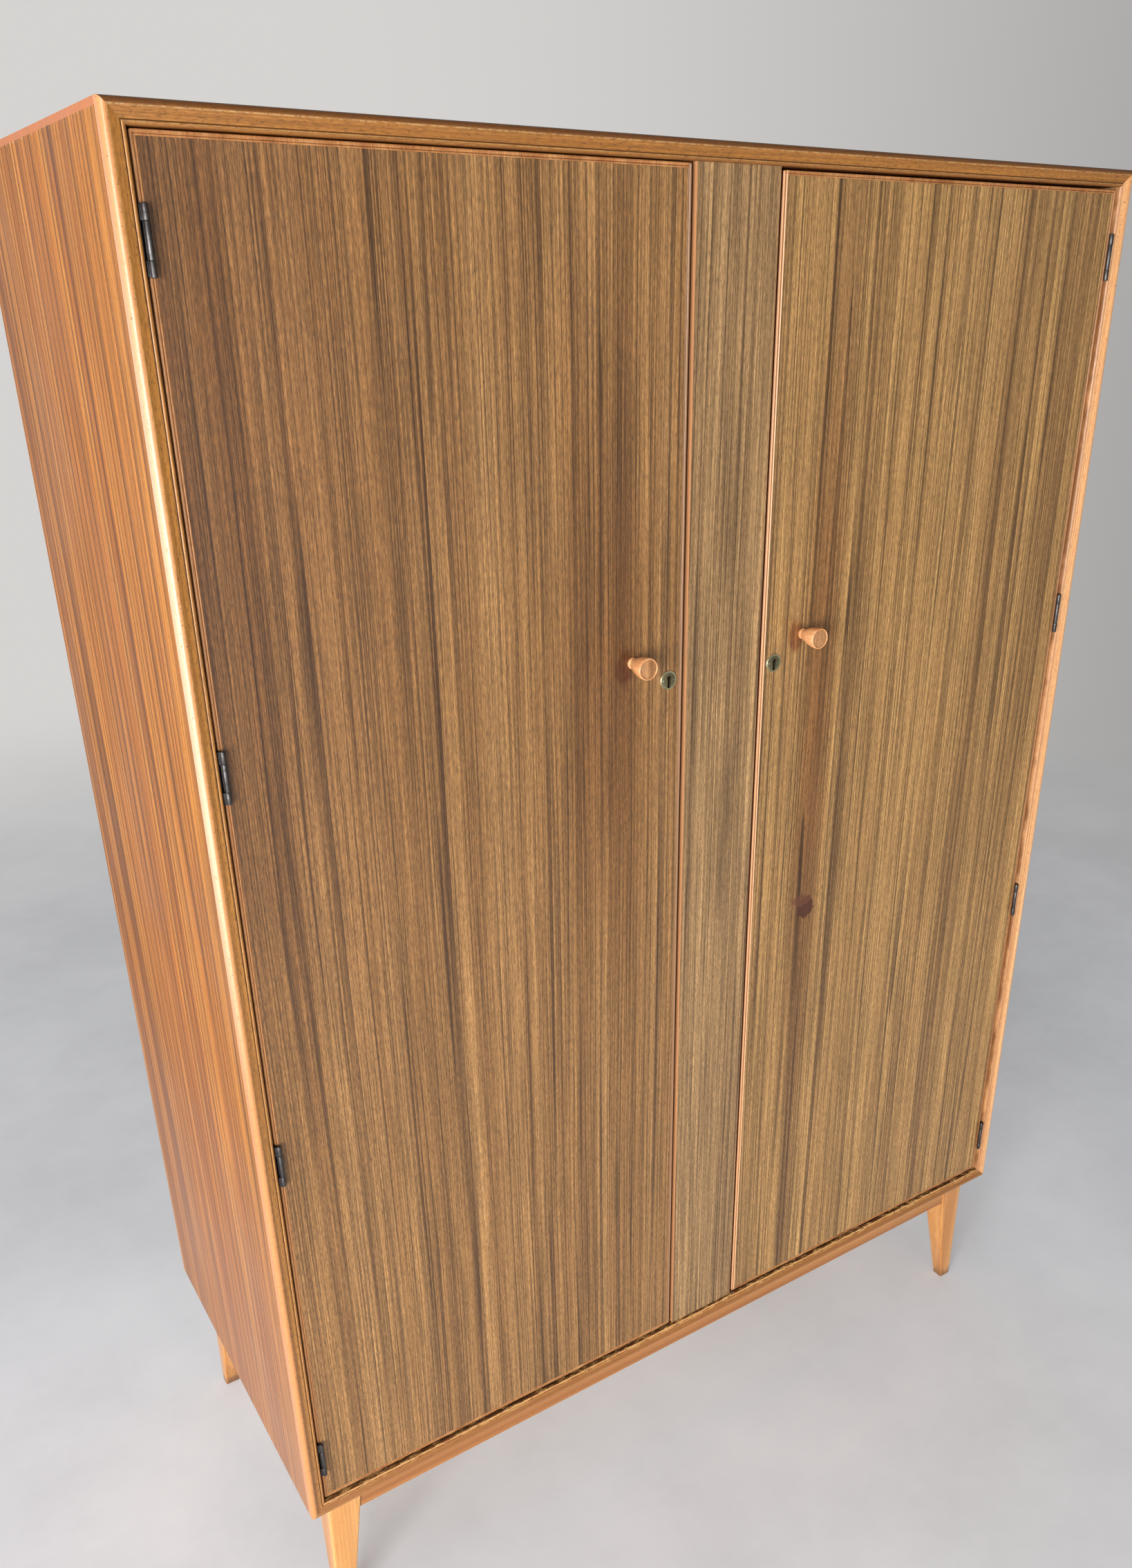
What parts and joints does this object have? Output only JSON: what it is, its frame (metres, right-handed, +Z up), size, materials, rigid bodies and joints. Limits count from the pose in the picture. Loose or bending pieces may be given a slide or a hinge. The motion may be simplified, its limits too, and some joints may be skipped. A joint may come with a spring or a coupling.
{
  "type": "wardrobe with doors",
  "caption": "Veneered wardrobe on tapered legs: hinged doors with knobs and locks either side of a fixed middle stile, hanging space and shelves inside.",
  "frame": {"origin": "on the floor, under the centre of the whole object, knobs included", "axes": "+X to the right seen from the front, +Y towards the back, +Z up; the doors face -Y"},
  "size_m": [1.22, 0.5644, 1.7455],
  "materials": {
    "side_veneer": "satin striped reddish veneer",
    "door_veneer": "satin walnut veneer with straight grain",
    "lipping_wood": "satin pale solid wood",
    "moulding_wood": "satin golden solid wood, worn",
    "leg_wood": "satin golden solid wood",
    "knob_wood": "satin turned beech",
    "dark_wood": "satin dark wood",
    "inner_wood": "matt pale board",
    "back_plywood": "matt plywood",
    "bronzed_steel": "dark bronzed steel",
    "aged_brass": "aged brass"
  },
  "bodies": {
    "carcass": {"side_left": "side_veneer", "side_right": "side_veneer", "top_panel": "side_veneer", "bottom_panel": "inner_wood", "back_panel": "back_plywood", "center_divider": "inner_wood", "moulding_left": "moulding_wood", "moulding_right": "moulding_wood", "moulding_top": "moulding_wood", "moulding_bottom": "moulding_wood", "pilaster": "door_veneer", "door_stop_strip": "inner_wood", "hat_shelf": "inner_wood", "shelf_1": "inner_wood", "shelf_2": "inner_wood", "shelf_3": "inner_wood", "hanging_rail": "lipping_wood", "rail_socket_left": "dark_wood", "rail_socket_right": "dark_wood", "left_strike_plate": "aged_brass", "right_strike_plate": "aged_brass", "leg_front_left": "leg_wood", "leg_front_right": "leg_wood", "leg_back_left": "leg_wood", "leg_back_right": "leg_wood", "apron_front": "leg_wood", "apron_back": "leg_wood", "apron_left": "leg_wood", "apron_right": "leg_wood", "left_hinge_1_frame_leaf": "bronzed_steel", "left_hinge_2_frame_leaf": "bronzed_steel", "left_hinge_3_frame_leaf": "bronzed_steel", "left_hinge_4_frame_leaf": "bronzed_steel", "right_hinge_1_frame_leaf": "bronzed_steel", "right_hinge_2_frame_leaf": "bronzed_steel", "right_hinge_3_frame_leaf": "bronzed_steel", "right_hinge_4_frame_leaf": "bronzed_steel"},
    "left_door": {"left_door_board": "door_veneer", "left_door_lipping": "lipping_wood", "left_knob": "knob_wood", "left_knob_inlay": "dark_wood", "left_escutcheon": "aged_brass", "left_lock_case": "bronzed_steel", "left_hinge_1_door_leaf": "bronzed_steel", "left_hinge_2_door_leaf": "bronzed_steel", "left_hinge_3_door_leaf": "bronzed_steel", "left_hinge_4_door_leaf": "bronzed_steel"},
    "right_door": {"right_door_board": "door_veneer", "right_door_lipping": "lipping_wood", "right_knob": "knob_wood", "right_knob_inlay": "dark_wood", "right_escutcheon": "aged_brass", "right_lock_case": "bronzed_steel", "right_hinge_1_door_leaf": "bronzed_steel", "right_hinge_2_door_leaf": "bronzed_steel", "right_hinge_3_door_leaf": "bronzed_steel", "right_hinge_4_door_leaf": "bronzed_steel"},
    "left_lock_bolt": {"left_lock_bolt": "aged_brass"},
    "right_lock_bolt": {"right_lock_bolt": "aged_brass"}
  },
  "joints": [
    {"name": "left_door_hinge", "type": "hinge", "parent": "carcass", "child": "left_door", "pos_m": [-0.58625, -0.25525, 0.9855], "axis": [0, 0, -1], "range_deg": [0, 175]},
    {"name": "right_door_hinge", "type": "hinge", "parent": "carcass", "child": "right_door", "pos_m": [0.58625, -0.25525, 0.9855], "axis": [0, 0, 1], "range_deg": [0, 175]},
    {"name": "left_lock_slide", "type": "slide", "parent": "left_door", "child": "left_lock_bolt", "axis": [1, 0, 0], "range_m": [0, 0.012]},
    {"name": "right_lock_slide", "type": "slide", "parent": "right_door", "child": "right_lock_bolt", "axis": [-1, 0, 0], "range_m": [0, 0.012]}
  ]
}
